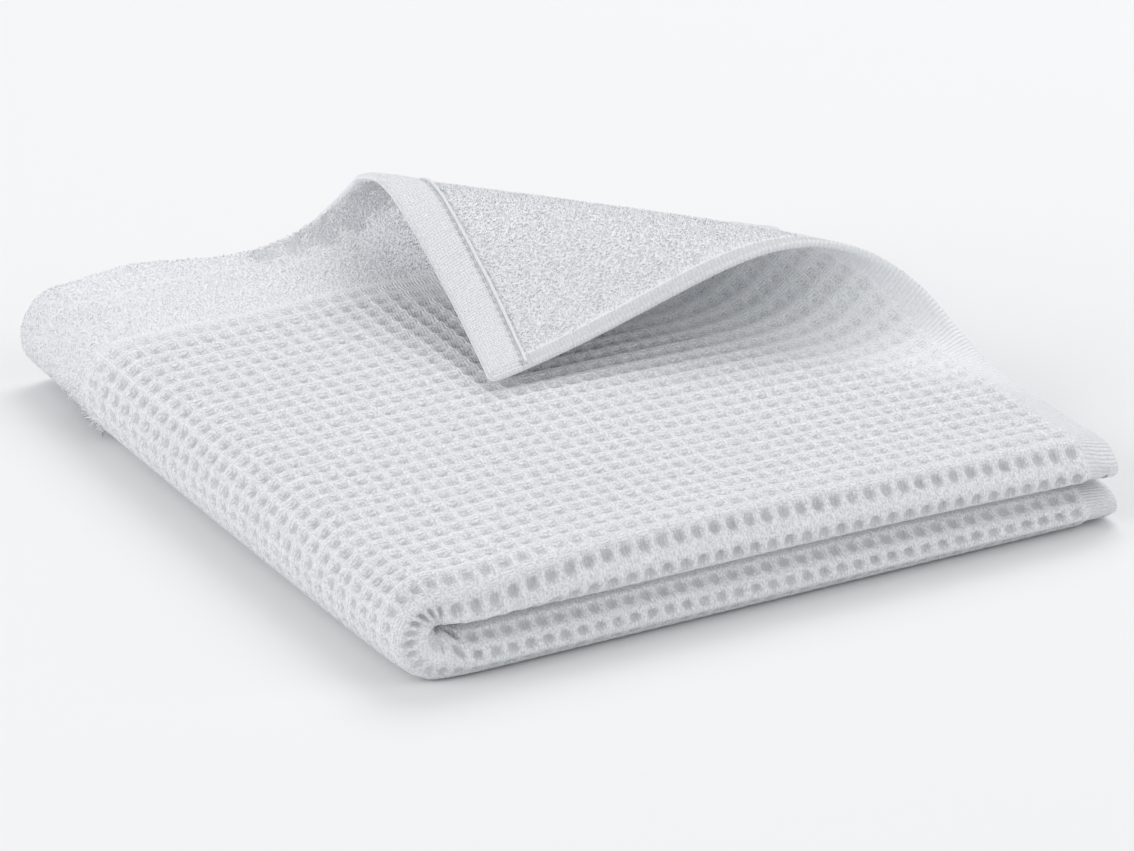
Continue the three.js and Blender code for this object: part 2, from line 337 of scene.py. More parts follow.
ACROSS_LINES = lines_across()
ALONG_LINES = lines_along()
FIRST_COLUMN = len(SELVEDGE_LINES)
LAST_COLUMN = FIRST_COLUMN + COLUMNS
FIRST_ROW = len(HEM_LINES) + TERRY_STEPS - 1
LAST_USUAL_ROW = FIRST_ROW + WAFFLE_ROWS
LAST_ROW = LAST_USUAL_ROW + len(FOLD_ROWS)
SPINE_COLUMN = float(np.interp(FLAT_ACROSS, ACROSS_LINES, np.arange(len(ACROSS_LINES))))


def row_share(j):
    """How long a usual row is, as a share of the row at a place."""
    row = np.clip(np.floor(j).astype(int), 0, len(ALONG_LINES) - 2)
    return np.minimum(CELL_ALONG / np.diff(ALONG_LINES)[row], 1)


def ringed(i, j):
    """Moves line numbers within their cell, so that the grid runs in oval rings round the pit."""
    a, b = 2 * (i - np.floor(i)) - 1, 2 * (j - np.floor(j)) - 1
    ring = np.maximum(np.maximum(np.abs(a), np.abs(b)), 1e-6)
    a, b = a / ring, b / ring
    oval = np.minimum((1 - ring) / OVAL_BORDER, 1)
    round_a, round_b = a * np.sqrt(1 - b * b / 2), b * np.sqrt(1 - a * a / 2)
    a, b = a + (round_a - a) * oval, b + (round_b - b) * oval
    across = np.interp(ring, RING_SHARE, RING_ACROSS)
    along = np.interp(ring, RING_SHARE, RING_ALONG)
    along = along * (1 - (1 - row_share(j)) * np.minimum((1 - ring) / LONG_BORDER, 1))
    return np.floor(i) + 0.5 + a * across, np.floor(j) + 0.5 + b * along


def in_waffle(i, j):
    columns = (i >= FIRST_COLUMN) & (i <= LAST_COLUMN)
    return columns & (j >= FIRST_ROW) & (j <= LAST_ROW)


def on_sheet(i, j):
    """Distances s and t on the flat sheet of a grid place given in line numbers, and its line
    numbers after the cells' grids have been made round."""
    waffle = in_waffle(i, j)
    ring_i, ring_j = ringed(i, j)
    i, j = np.where(waffle, ring_i, i), np.where(waffle, ring_j, j)
    s = np.interp(i, np.arange(len(ACROSS_LINES)), ACROSS_LINES)
    t = np.interp(j, np.arange(len(ALONG_LINES)), ALONG_LINES)
    return s, t, i, j


def rounded_corners(s, t):
    """Pulls the sheet's four square corners in to quarter rounds."""
    side, end = from_edges(s, t)
    dx, dy = np.clip(CORNER_ROUND - side, 0, None), np.clip(CORNER_ROUND - end, 0, None)
    longest, reach = np.maximum(dx, dy), np.hypot(dx, dy)
    share = 1 - np.where(reach > 0, longest / np.maximum(reach, 1e-9), 1)
    s = s + np.where(s < WIDTH / 2, 1, -1) * dx * share
    return s, t + np.where(t < LENGTH / 2, 1, -1) * dy * share


# The lower bundle's rows crowd together round its front fold: how far back each line moves.
TIGHT_AT = (150.0, 156.6, 162.2, 167.1, 171.5, 205.0)
TIGHT_BY = (0.0, -0.5, 1.6, 3.1, 4.1, 0.0)
# How far the weave slips across and is pulled along: distance, centre and reach in x and y.
SLIP_ACROSS = (-4.0, -62.0, -80.0, 26.0, 42.0)
PULL_ALONG = (4.6, -60.0, -80.0, 20.0, 27.0)


def upper_place(s, t):
    """x and y of a place on the upper bundle's outer layer as it lies before its creases."""
    return SPINE_X + s - UPPER_START, HEM_Y - t


def past_lift(s, t):
    """How far a place of the upper bundle's outer layer lies past the lift line."""
    return lift_place(*upper_place(s, t))[0]


def eased_weave(s, t):
    """How the weave has slipped on the folded towel: round the spine near the front folds."""
    x, y = upper_place(s, t)
    held = smooth(s / FLAT_ACROSS - 0.5) * smooth((WIDTH - s) / 30) * smooth(t / 50)
    held = held * smooth((OUTER_RUN + 30 - t) / 20)
    slip, pull = hump(x, y, *SLIP_ACROSS), hump(x, y, *PULL_ALONG)
    tight = np.interp(t, TIGHT_AT, TIGHT_BY) * smooth((FLAT_ACROSS - s) / 4)
    return s + slip * held, t + pull * held - tight


# ---- The weave's relief ----

# Heights above the middle of the cloth's thickness.
RIB_TOP = HALF_CLOTH
FLAT_FACE = 0.75
TERRY_BASE = 0.5
HEM_BACK = -1.0
BAND_RISE, BAND_RISE_OVER = 0.55, 7.0  # how the terry band rises to the waffle's ribs

PIT_ACROSS, PIT_ALONG = 0.4, 0.34  # half the size of a pit's opening, in cells
PIT_SQUEEZE = 0.06  # how much narrower the bends make it
PIT_UNEVEN = (0.8, 0.4)  # the shallowest pit's share of the depth, and the range above it
PIT_SEED, PIT_TABLE = 5, 128
CROWN_SAG = 0.12
SADDLE, SADDLE_BENT = 0.28, 0.24  # how deep the ribs sink, and how much more on the spine

CURL_SOFTER = 0.6  # share by which the pits of the lifted layer are shallower
# Painted light: share by which the pits' painted shade is lighter on the single lifted layer.
PAINTED_LIGHT_ON_CURL_PITS = 0.4
FIRST_ROWS, FIRST_ROWS_OVER = 0.5, 6.0  # the pits' share of depth beside the terry band
# Share by which the front folds' pits are greyer, as painted shade; it deepens pits only where
# they were made shallower.
PAINTED_SHADE_IN_FRONT_FOLDS = 0.35
SPINE_SOFTER, SPINE_SOFTER_UP_TO, SPINE_SOFTER_OVER = 0.4, 0.6, 9.0


def noise_table(seed, size):
    return np.random.default_rng(seed).random((size, size))


def drift(x, y, reach, seed, size=64):
    """Smooth random values from -1 to 1 that change over the given distance."""
    table = noise_table(seed, size) * 2 - 1
    x, y = np.asarray(x) / reach, np.asarray(y) / reach
    i, j = np.floor(x).astype(int), np.floor(y).astype(int)
    a, b = smooth(x - i), smooth(y - j)

    def at(di, dj):
        return table[(i + di) % size, (j + dj) % size]

    low = at(0, 0) * (1 - a) + at(1, 0) * a
    return low * (1 - b) + (at(0, 1) * (1 - a) + at(1, 1) * a) * b


def pit(i, j, depth, bent, front):
    """Depth of the waffle at a place, and how far it is from rib to floor.

    The ribs along the sheet sink between the cross ribs, more where the cloth bends round the
    spine, and the bends squeeze the pits.
    """
    a, b = i - np.floor(i), j - np.floor(j)
    across, along = np.minimum(a, 1 - a), np.minimum(b, 1 - b)
    wall_across = smooth((across - 0.04) / 0.24)
    wall_along = smooth((along - 0.11) / 0.26)
    squeezed = np.maximum(bent, front)
    wide, tall = PIT_ACROSS - PIT_SQUEEZE * squeezed, PIT_ALONG * row_share(j)
    from_centre = (np.abs((a - 0.5) / wide) ** 3 + np.abs((b - 0.5) / tall) ** 3) ** (1 / 3)
    cell = np.floor(i).astype(int) % PIT_TABLE, np.floor(j).astype(int) % PIT_TABLE
    uneven = PIT_UNEVEN[0] + PIT_UNEVEN[1] * noise_table(PIT_SEED, PIT_TABLE)[cell]
    floor = smooth((1.15 - from_centre) / 0.65)
    crowns = CROWN_SAG * (np.minimum(across / 0.2, 1) ** 2 + np.minimum(along / 0.18, 1) ** 2)
    saddles = (SADDLE + SADDLE_BENT * bent) * wall_along * (1 - wall_across)
    return floor * depth * uneven + crowns * (1 - floor) / 2 + saddles, floor


def round_spine(s):
    """1 where the sheet bends round the spine, 0 on the flat."""
    return smooth((s - FLAT_ACROSS + 3) / 6) * smooth((UPPER_START - 2 - s) / 9)


def round_front(t):
    """1 where the sheet bends round the front folds, 0 on the flat."""
    return smooth((t - OUTER_RUN - 1) / 5) * smooth((OUTER_RUN + FRONT_ARC + 6 - t) / 5)


def edge_share(s, t):
    """From 0 on the sheet's edge to 1 a little way in, for its rounded edges."""
    nearest = np.minimum(*from_edges(s, t))
    return np.sqrt(np.clip(nearest / 1.1, 0, 1)) * 0.75 + 0.25


def masks(s, t, selvedge_width):
    """How much of a place is selvedge, hem and terry band."""
    side, end = from_edges(s, t)
    selvedge = smooth((selvedge_width + MASK_EDGE - side) / MASK_BLEND)
    hem = smooth((HEM_BAND + MASK_EDGE - end) / MASK_BLEND)
    terry = smooth((TERRY_BAND + 0.2 - end) / MASK_BLEND) * (1 - hem) * (1 - selvedge)
    return selvedge, hem, terry


def band_level(t):
    """The face's level under the terry loops: it rises to meet the waffle's ribs."""
    return TERRY_BASE + BAND_RISE * smooth((t - TERRY_BAND + BAND_RISE_OVER) / BAND_RISE_OVER)


def face_offset(i, j, s, t, depth):
    """The face's height, and how far each place is from rib to pit floor, which also sets the
    pits' painted shade.
    """
    selvedge, hem, terry = masks(s, t, FACE_SELVEDGE)
    terry = np.maximum(terry, hem * (1 - selvedge))
    lifted = smooth((past_lift(s, t) + 6) / 10) * (s >= UPPER_START) * (t <= OUTER_RUN)
    worked = FIRST_ROWS + (1 - FIRST_ROWS) * smooth((t - TERRY_BAND) / FIRST_ROWS_OVER)
    worked *= 1 - round_spine(s) * smooth(1 - along_place(t)[1] / 7)
    # Painted shade on the pit floors round the front folds; the depth is capped at its full share,
    # so it only deepens pits made shallower.
    worked *= 1 + PAINTED_SHADE_IN_FRONT_FOLDS * round_front(t)
    low_spine = smooth((FLAT_ACROSS + SPINE_ARC * SPINE_SOFTER_UP_TO - s) / SPINE_SOFTER_OVER)
    worked *= 1 - SPINE_SOFTER * round_spine(s) * low_spine
    depth = depth * np.minimum(worked, 1) * (1 - CURL_SOFTER * lifted)
    deep, floor = pit(i, j, depth, round_spine(s), round_front(t))
    waffle = RIB_TOP - np.where(in_waffle(i, j), deep, 0.1)
    offset = waffle * (1 - terry) + band_level(t) * terry
    offset = offset * (1 - selvedge) + FLAT_FACE * selvedge
    # The pits' painted shade: greyer round the front folds, and lighter on the single lifted layer
    # as painted light coming through it.
    floor = floor * worked * (1 - PAINTED_LIGHT_ON_CURL_PITS * lifted)
    return offset * edge_share(s, t), floor * (1 - selvedge) * (1 - terry)


def back_offset(s, t):
    """The back's height: under the loops, on the selvedge, and on the turned and lapped hem."""
    selvedge, hem, _ = masks(s, t, SELVEDGE_WIDTH)
    flat = -FLAT_FACE * selvedge * (1 - hem) + HEM_BACK * hem
    loops = -TERRY_BASE * (1 - selvedge) * (1 - hem)
    side, end = from_edges(s, t)
    rounded = 0.18 * bell((end - HEM_BAND / 2) / 4) * hem
    groove = 0.35 * bell((end - HEM_BAND + 0.5) / 0.5) * hem
    lap = hem * (0.5 * smooth((HEM_LAP - side) / 0.3) + 0.3 * bell((side - HEM_LAP) / 0.25))
    return (flat + loops - rounded + groove + lap) * edge_share(s, t)


# Puckers of the hem under the curl: distance from the selvedge, half width and depth.
PUCKERS = ((76, 2.6, 0.8), (82, 1.7, 1.2), (88.2, 1.7, 0.8), (93.4, 1.5, 0.6), (99, 2.0, 0.3))
PUCKERS_CENTRE, PUCKERS_REACH = 87.0, 17.0
PUCKERS_END, PUCKERS_FADE = 12.0, 7.0


def puckered(s, t):
    """How far the whole cloth dips in the hem's puckers."""
    from_selvedge = WIDTH - s
    depth = sum(deep * bell((from_selvedge - place) / reach) for place, reach, deep in PUCKERS)
    return depth * smooth((PUCKERS_END - t) / PUCKERS_FADE)


# Troughs of the upper bundle's top: depth, centre and reach in x and y.
TOP_TROUGHS = ((1.0, 18.0, -44.0, 34.0, 26.0), (0.8, 56.0, -22.0, 14.0, 24.0))
# The trough beside the curl and the ridge of the back left corner: depth or height, place and
# reach in x, and the y from which it grows and over what length.
HEM_TROUGH = (0.8, -33.0, 13.0, 45.0, 30.0)
CORNER_RIDGE = (1.2, -54.0, 15.0, 52.0, 28.0)
# How the bundles' front folds bulge and draw back: height, reach and how far out.
FRONT_LIPS = ((12.0, 2.6, 2.0), (8.6, 1.6, -1.2), (4.0, 2.4, 1.0))
CREVICE_SAG, CREVICE_REACH = 0.7, 2.6


def creased(points):
    """The main creases of the resting stack, placed one by one: soft troughs and ridges."""
    x, y, z = (points / MM).T
    upper = smooth((z - 8) / 9)
    sag = sum(hump(x, y, *trough) for trough in TOP_TROUGHS)
    depth, at_x, reach, from_y, over = HEM_TROUGH
    sag += depth * bell((x - at_x) / reach) * smooth((y - from_y) / over)
    points[:, 2] -= sag * upper * MM
    height, at_x, reach, from_y, over = CORNER_RIDGE
    points[:, 2] += height * smooth((y - from_y) / over) * smooth((at_x - x) / reach) * MM
    front = smooth((FRONT_Y + 8 - y) / 12) * smooth((x + 66) / 12)
    level = z / (1 - 0.1 * smooth((x - 20) / 50))
    lips = sum(out * bell((level - height) / reach) for height, reach, out in FRONT_LIPS)
    points[:, 1] -= lips * front * MM
    crevice = bell((level - BUNDLE_HEIGHT) / CREVICE_REACH)
    points[:, 2] -= CREVICE_SAG * crevice * front * MM
    return points


# ---- Meshes ----


def finished_mesh(bm, name):
    mesh = bpy.data.meshes.new(name)
    bm.to_mesh(mesh)
    bm.free()
    return mesh


# Whether places of the sheet, given in line numbers, are on each of its parts.


def waffle_shown(i, j):
    shown = (i > SPINE_COLUMN - 1) | (j > LAST_USUAL_ROW - 1)
    ends = (i < SPINE_COLUMN + 1) | (i > LAST_COLUMN - 2)
    last = np.where(ends, LAST_ROW, LAST_ROW - 1)
    return in_waffle(i, j) & (j < last) & shown


def waffle_below(i, j):
    return in_waffle(i, j) & (i < SPINE_COLUMN - 2) & (j < LAST_USUAL_ROW - 2)


def hem_puckers(i, j):
    s, _, _, _ = on_sheet(i, j)
    return (j < FIRST_ROW - 4) & (np.abs(WIDTH - s - PUCKERS_CENTRE) < PUCKERS_REACH)


def band_shown(i, j):
    return (j < FIRST_ROW) & (j > 2) & (i > SPINE_COLUMN) & ~hem_puckers(i, j)


def curl_back(i, j):
    s, t, _, _ = on_sheet(i, j)
    return (s >= UPPER_START) & (t <= OUTER_RUN) & (past_lift(s, t) > -4)


def selvedge_shown(i, j):
    return (i > LAST_COLUMN) & (j >= FIRST_ROW) & (j < LAST_USUAL_ROW)


def selvedge_folds(i, j):
    beyond = (i > LAST_COLUMN) | (i < FIRST_COLUMN)
    return beyond & (j > LAST_USUAL_ROW) & (j < LAST_ROW)


# The parts of the sheet that are divided more finely, in this order: on the face (1) or back
# (-1), and in how many cuts.
FINER = (
    (waffle_shown, 1, 5),
    (curl_back, -1, 2),
    (waffle_below, 1, 2),
    (hem_puckers, 1, 3),
    (band_shown, 1, 1),
    (selvedge_shown, 1, 1),
    (selvedge_folds, 1, 5),
)


def selected_edges(bm, wanted, side):
    """The edges of one side's quads whose middle, in line numbers, is wanted."""
    faces = [f for f in bm.faces if len(f.verts) == 4]
    i, j, z = np.array([f.calc_center_median() for f in faces]).T
    keep = wanted(i, j) & (z * side > 0.5)
    edges = (edge for face, kept in zip(faces, keep) if kept for edge in face.edges)
    return list(dict.fromkeys(edges))  # each edge once


def sheet_mesh():
    """A closed sheet in line numbers (x, y) with z = 1 on the face and -1 on the back."""
    bm = bmesh.new()
    across, along = len(ACROSS_LINES) - 1, len(ALONG_LINES) - 1
    bmesh.ops.create_grid(bm, x_segments=across, y_segments=along, size=0.5)
    for vert in bm.verts:
        place = (vert.co.x + 0.5) * across, (vert.co.y + 0.5) * along
        vert.co = Vector((round(place[0]), round(place[1]), -1))
    grown = bmesh.ops.extrude_face_region(bm, geom=bm.faces[:], use_keep_orig=True)
    for item in grown["geom"]:
        if isinstance(item, bmesh.types.BMVert):
            item.co.z = 1
    bmesh.ops.recalc_face_normals(bm, faces=bm.faces)
    for wanted, side, cuts in FINER:
        edges = selected_edges(bm, wanted, side)
        bmesh.ops.subdivide_edges(bm, edges=edges, cuts=cuts, use_grid_fill=True)
    bmesh.ops.recalc_face_normals(bm, faces=bm.faces)
    return finished_mesh(bm, "waffle_cloth")


def mesh_points(mesh):
    flat = np.empty(len(mesh.vertices) * 3, np.float32)
    mesh.vertices.foreach_get("co", flat)
    return flat.reshape(-1, 3).astype(float)


def add_attribute(mesh, name, values):
    attribute = mesh.attributes.new(name, "FLOAT", "POINT")
    attribute.data.foreach_set("value", np.asarray(values, np.float32))


def add_uv_map(mesh, name, places):
    """A UV map from one place per vertex."""
    corners = np.empty(len(mesh.loops), np.int32)
    mesh.loops.foreach_get("vertex_index", corners)
    layer = mesh.uv_layers.new(name=name)
    layer.uv.foreach_set("vector", places[corners].astype(np.float32).ravel())


def in_scene(name, data):
    obj = bpy.data.objects.new(name, data)
    bpy.context.scene.collection.objects.link(obj)
    return obj


def shown_object(name, mesh, material, replaced=()):
    """The finished piece, on its body and the node it stands for."""
    mesh.materials.append(material)
    mesh.polygons.foreach_set("use_smooth", np.ones(len(mesh.polygons), bool))
    obj = in_scene(name, mesh)
    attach(obj, "root")
    for node in replaced:
        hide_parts(node)


def place_on_towel(s, t, offset):
    """Metres, of sheet places on the folds with the stack's creases."""
    return creased(folded(s, t, offset))


def cloth_frames(s, t, offset):
    """Place and unit directions (across, along, out of the face) on the folded sheet."""
    step = 0.2
    here = place_on_towel(s, t, offset)
    across = place_on_towel(s + step, t, offset) - here
    along = place_on_towel(s, t + step, offset) - here
    across /= np.linalg.norm(across, axis=1, keepdims=True)
    out = np.cross(along, across)
    out /= np.linalg.norm(out, axis=1, keepdims=True)
    return here, across, np.cross(across, out), out


# ---- Terry loops and other small yarns ----

# Paths of a loop and of a selvedge yarn, as shares of their width and height.
LOOP_PATH = ((-0.5, 0.0), (0.0, 1.0), (0.5, 0.0))
BAR_PATH = ((-0.5, -1.0), (-0.46, 0.0), (0.0, 0.3), (0.46, 0.0), (0.5, -1.0))
BAR_LENGTH, BAR_RISE, BAR_YARN, BAR_SIDES = 3.5, 0.2, 0.2, 5
BAR_PITCH = 0.85
STITCH = 2.1
SEAM_LEVEL, SEAM_RADIUS = -1.05, 0.27
SEAM_TONE, BAR_TONE = 0.86, 0.96  # shares of the cotton's colour
LOOP_WIDER = 1.25  # a loop's width, as a share of its height
LOOP_SUNK = 0.1  # how far the loops' feet are in the cloth
BAND_LOOP = 0.75  # height of the band's loops, as a share of the others
PULLED_OUT = 4.0  # how much longer the loops snagged low on the spine can be


def rolled_grid(rings, sides, place):
    """A grid rolled up to an open tube; place gives a point from its ring and its turn."""
    bm = bmesh.new()
    bmesh.ops.create_grid(bm, x_segments=rings - 1, y_segments=sides, size=0.5)
    for vert in bm.verts:
        ring = round((vert.co.x + 0.5) * (rings - 1))
        vert.co = Vector(place(ring, 2 * math.pi * (vert.co.y + 0.5)))
    bmesh.ops.remove_doubles(bm, verts=bm.verts, dist=1e-6)
    return bm


def yarn_template(path, width, height, yarn, sides=3):
    """Points and faces of a short piece of yarn along a path. z is up."""
    path = np.array(path) * (width, height)
    ahead = np.gradient(path, axis=0)
    ahead /= np.linalg.norm(ahead, axis=1, keepdims=True)

    def place(ring, turn):
        (x, z), (ax, az) = path[ring], ahead[ring]
        turn += math.pi / 2 / sides
        in_plane, beside = math.cos(turn) * yarn, math.sin(turn) * yarn
        return x - az * in_plane, beside, z + ax * in_plane

    bm = rolled_grid(len(path), sides, place)
    bm.verts.index_update()
    points = np.array([vert.co for vert in bm.verts])
    faces = np.array([[vert.index for vert in face.verts] for face in bm.faces])
    bm.free()
    return points, faces


def scattered(s_range, t_range, spacing, seed):
    """Jittered rows of places on the flat sheet."""
    rng = np.random.default_rng(seed)
    s, t = np.meshgrid(np.arange(*s_range, spacing), np.arange(*t_range, spacing))
    s, t = s.ravel() + spacing / 2, t.ravel() + spacing / 2
    jitter = rng.uniform(-0.38, 0.38, (2, len(s))) * spacing
    return s + jitter[0], t + jitter[1], rng


def strewn_mesh(name, template, place, offset, turn, grow, lean, rng):
    """One mesh of many small yarns that stand on the sheet, on the side of their offset."""
    points, faces = template
    s, t = place
    here, across, along, out = cloth_frames(s, t, offset)
    out = out * np.sign(offset)[:, None]
    first = across * np.cos(turn)[:, None] + along * np.sin(turn)[:, None]
    second = np.cross(out, first)
    local = points[None] * grow[:, None, :]
    top = np.abs(points[:, 2]).max()
    rise = np.clip(local[:, :, 2:] / top, 0, None)
    shift = (lean[:, None, :1] * first[:, None] + lean[:, None, 1:] * second[:, None]) * top
    places = here[:, None] + MM * (
        local[:, :, :1] * first[:, None]
        + local[:, :, 1:2] * second[:, None]
        + local[:, :, 2:] * out[:, None]
        + shift * rise
    )
    first_vertex = np.arange(len(s))[:, None, None] * len(points)
    mesh = bpy.data.meshes.new(name)
    mesh.from_pydata(places.reshape(-1, 3), [], (faces[None] + first_vertex).reshape(-1, 4))
    add_attribute(mesh, "tone", np.repeat(rng.random(len(s)), len(points)))
    extent = max(np.ptp(s), np.ptp(t)) + 4
    spread = (points[:, :2] - points[:, :2].mean(0)) + points[:, 2:] * 0.3
    u = (s - s.min())[:, None] + 2 + spread[:, 0][None]
    v = (t - t.min())[:, None] + 2 + spread[:, 1][None]
    add_uv_map(mesh, "OFBake", np.stack([u, v], -1).reshape(-1, 2) / extent)
    return mesh


def loops_mesh(name, s, t, rng, side, base, sizes, drawn_out):
    """Terry loops that stand on the sheet's face (side 1) or back (side -1)."""
    count = len(s)
    grow = rng.uniform(0.75, 1.25, (count, 3))
    grow[:, 2] *= drawn_out
    return strewn_mesh(
        name,
        yarn_template(LOOP_PATH, *sizes),
        (s, t),
        side * base * np.ones(count),
        rng.uniform(0, math.pi, count),
        grow,
        rng.normal(0, 0.5, (count, 2)),
        rng,
    )


def tube_mesh(name, s, t, offset, radii, sides=6):
    """A closed tube along a line on the sheet, thicker and thinner as its radii say."""
    here, across, along, out = cloth_frames(s, t, offset)

    def place(ring, turn):
        away = along[ring] * math.cos(turn) + out[ring] * math.sin(turn)
        return here[ring] + MM * radii[ring] * away

    bm = rolled_grid(len(s), sides, place)
    bmesh.ops.holes_fill(bm, edges=bm.edges, sides=sides)
    bmesh.ops.recalc_face_normals(bm, faces=bm.faces)
    return finished_mesh(bm, name)


# ---- Materials ----

HEM_WEAVE = 0.7  # distance between the dots of the hem's weave
GRAIN = (0.9, 3.4)  # grains per millimetre along and beside a yarn of the weft
DARK_COTTON = 0.7  # the greyest cotton, as a share of its colour; also the dark end of the painted shade
# How strongly each part of the weave shows in the relief, and as a greyer tone.
RIB_RELIEF, DOT_RELIEF, FIBRE_RELIEF, INNER_RELIEF = 2.0, 3.2, 1.6, 5.0
# The pit, thread gap, inner cell and rib tones are painted shade; the hole, stitch, grain, cotton
# and yarn tones are the cotton's own.
PAINTED_SHADE_IN_PITS, PAINTED_SHADE_IN_GAPS, PAINTED_SHADE_IN_PIT_GAPS, PAINTED_SHADE_IN_INNER_CELLS, PAINTED_SHADE_BETWEEN_RIBS = 0.7, 0.14, 0.3, 0.7, 0.22
HOLE_TONE, STITCH_TONE, GRAIN_TONE, COTTON_TONE, YARN_TONE = 0.26, 0.8, 2.4, 0.24, 0.2
# The hem's paler tone, and painted light on the single lifted layer, standing for light that comes
# through it.
HEM_PALER, PAINTED_LIGHT_ON_LIFTED_SHADE, PAINTED_LIGHT_ON_LIFTED_LAYER = 0.2, 0.25, 0.32


class Nodes:
    """Short calls for one material's node tree."""

    def __init__(self, name):
        self.material = bpy.data.materials.new(name)
        self.material.use_nodes = True
        self.tree = self.material.node_tree
        self.shader = self.tree.nodes["Principled BSDF"]

    def new(self, kind, **values):
        node = self.tree.nodes.new(kind)
        for key, value in values.items():
            if key in node.inputs:
                node.inputs[key].default_value = value
            else:
                setattr(node, key, value)
        return node

    def link(self, source, target):
        self.tree.links.new(source, target)

    def math(self, operation, first, second):
        node = self.new("ShaderNodeMath", operation=operation)
        for socket, value in zip(node.inputs, (first, second)):
            if isinstance(value, (int, float)):
                socket.default_value = value
            else:
                self.link(value, socket)
        return node.outputs[0]

    def add(self, first, second):
        return self.math("ADD", first, second)

    def less(self, first, second):
        return self.math("SUBTRACT", first, second)

    def times(self, first, second):
        return self.math("MULTIPLY", first, second)

    def most(self, first, second):
        return self.math("MAXIMUM", first, second)

    def mix(self, kind, share, first, second):
        """Blends two values or sockets; share 0 gives the first."""
        node = self.new("ShaderNodeMix", data_type=kind)
        for name, value in (("Factor", share), ("A", first), ("B", second)):
            if isinstance(value, tuple):
                node.inputs[name].default_value = value
            else:
                self.link(value, node.inputs[name])
        return node.outputs["Result"]

    def bump(self, height, strength, distance):
        node = self.new("ShaderNodeBump", Strength=strength, Distance=distance)
        self.link(height, node.inputs["Height"])
        self.link(node.outputs["Normal"], self.shader.inputs["Normal"])

    def attribute(self, name):
        return self.new("ShaderNodeAttribute", attribute_name=name).outputs["Fac"]

    def noise(self, scale, detail, vector):
        node = self.new("ShaderNodeTexNoise", Scale=scale, Detail=detail)
        self.link(vector, node.inputs["Vector"])
        return node.outputs["Fac"]

    def fibres(self, scale, detail):
        place = self.new("ShaderNodeTexCoord").outputs["Object"]
        return self.noise(scale, detail, place)

    def set(self, socket, value):
        self.shader.inputs[socket].default_value = value


def cotton(nodes, colour, sheen):
    """The settings that all the towel's yarns share."""
    nodes.set("Base Color", (*colour, 1.0))
    nodes.set("Roughness", 0.92)
    nodes.set("Specular IOR Level", 0.25)
    nodes.set("Sheen Weight", sheen)
    nodes.set("Sheen Roughness", 0.6)


def shaded_colour(nodes, colour, share):
    """Mixes towards a greyer cotton where share is high, for grain, random tone and painted shade.
    """
    dark = tuple(channel * DARK_COTTON for channel in colour)
    return nodes.mix("RGBA", share, (*colour, 1.0), (*dark, 1.0))


def thread_lines(nodes, axis, pitch, uneven=0.7):
    """Fine parallel threads, pitch in the sheet's millimetres."""
    place = nodes.new("ShaderNodeUVMap", uv_map="threads")
    scale = math.pi / (10 * pitch)
    wave = nodes.new("ShaderNodeTexWave", Scale=scale, Distortion=uneven, Detail=1.0)
    wave.wave_type, wave.bands_direction = "BANDS", axis
    wave.inputs["Detail Scale"].default_value = 1.5
    nodes.link(place.outputs["UV"], wave.inputs["Vector"])
    return wave.outputs["Fac"]


def streaks(nodes, stretch):
    """Grain drawn out along one way of the weave; stretch is in grains per millimetre."""
    place = nodes.new("ShaderNodeUVMap", uv_map="threads")
    scaled = nodes.new("ShaderNodeMapping", Scale=(*stretch, 1.0))
    nodes.link(place.outputs["UV"], scaled.inputs["Vector"])
    return nodes.noise(1.0, 2.0, scaled.outputs["Vector"])


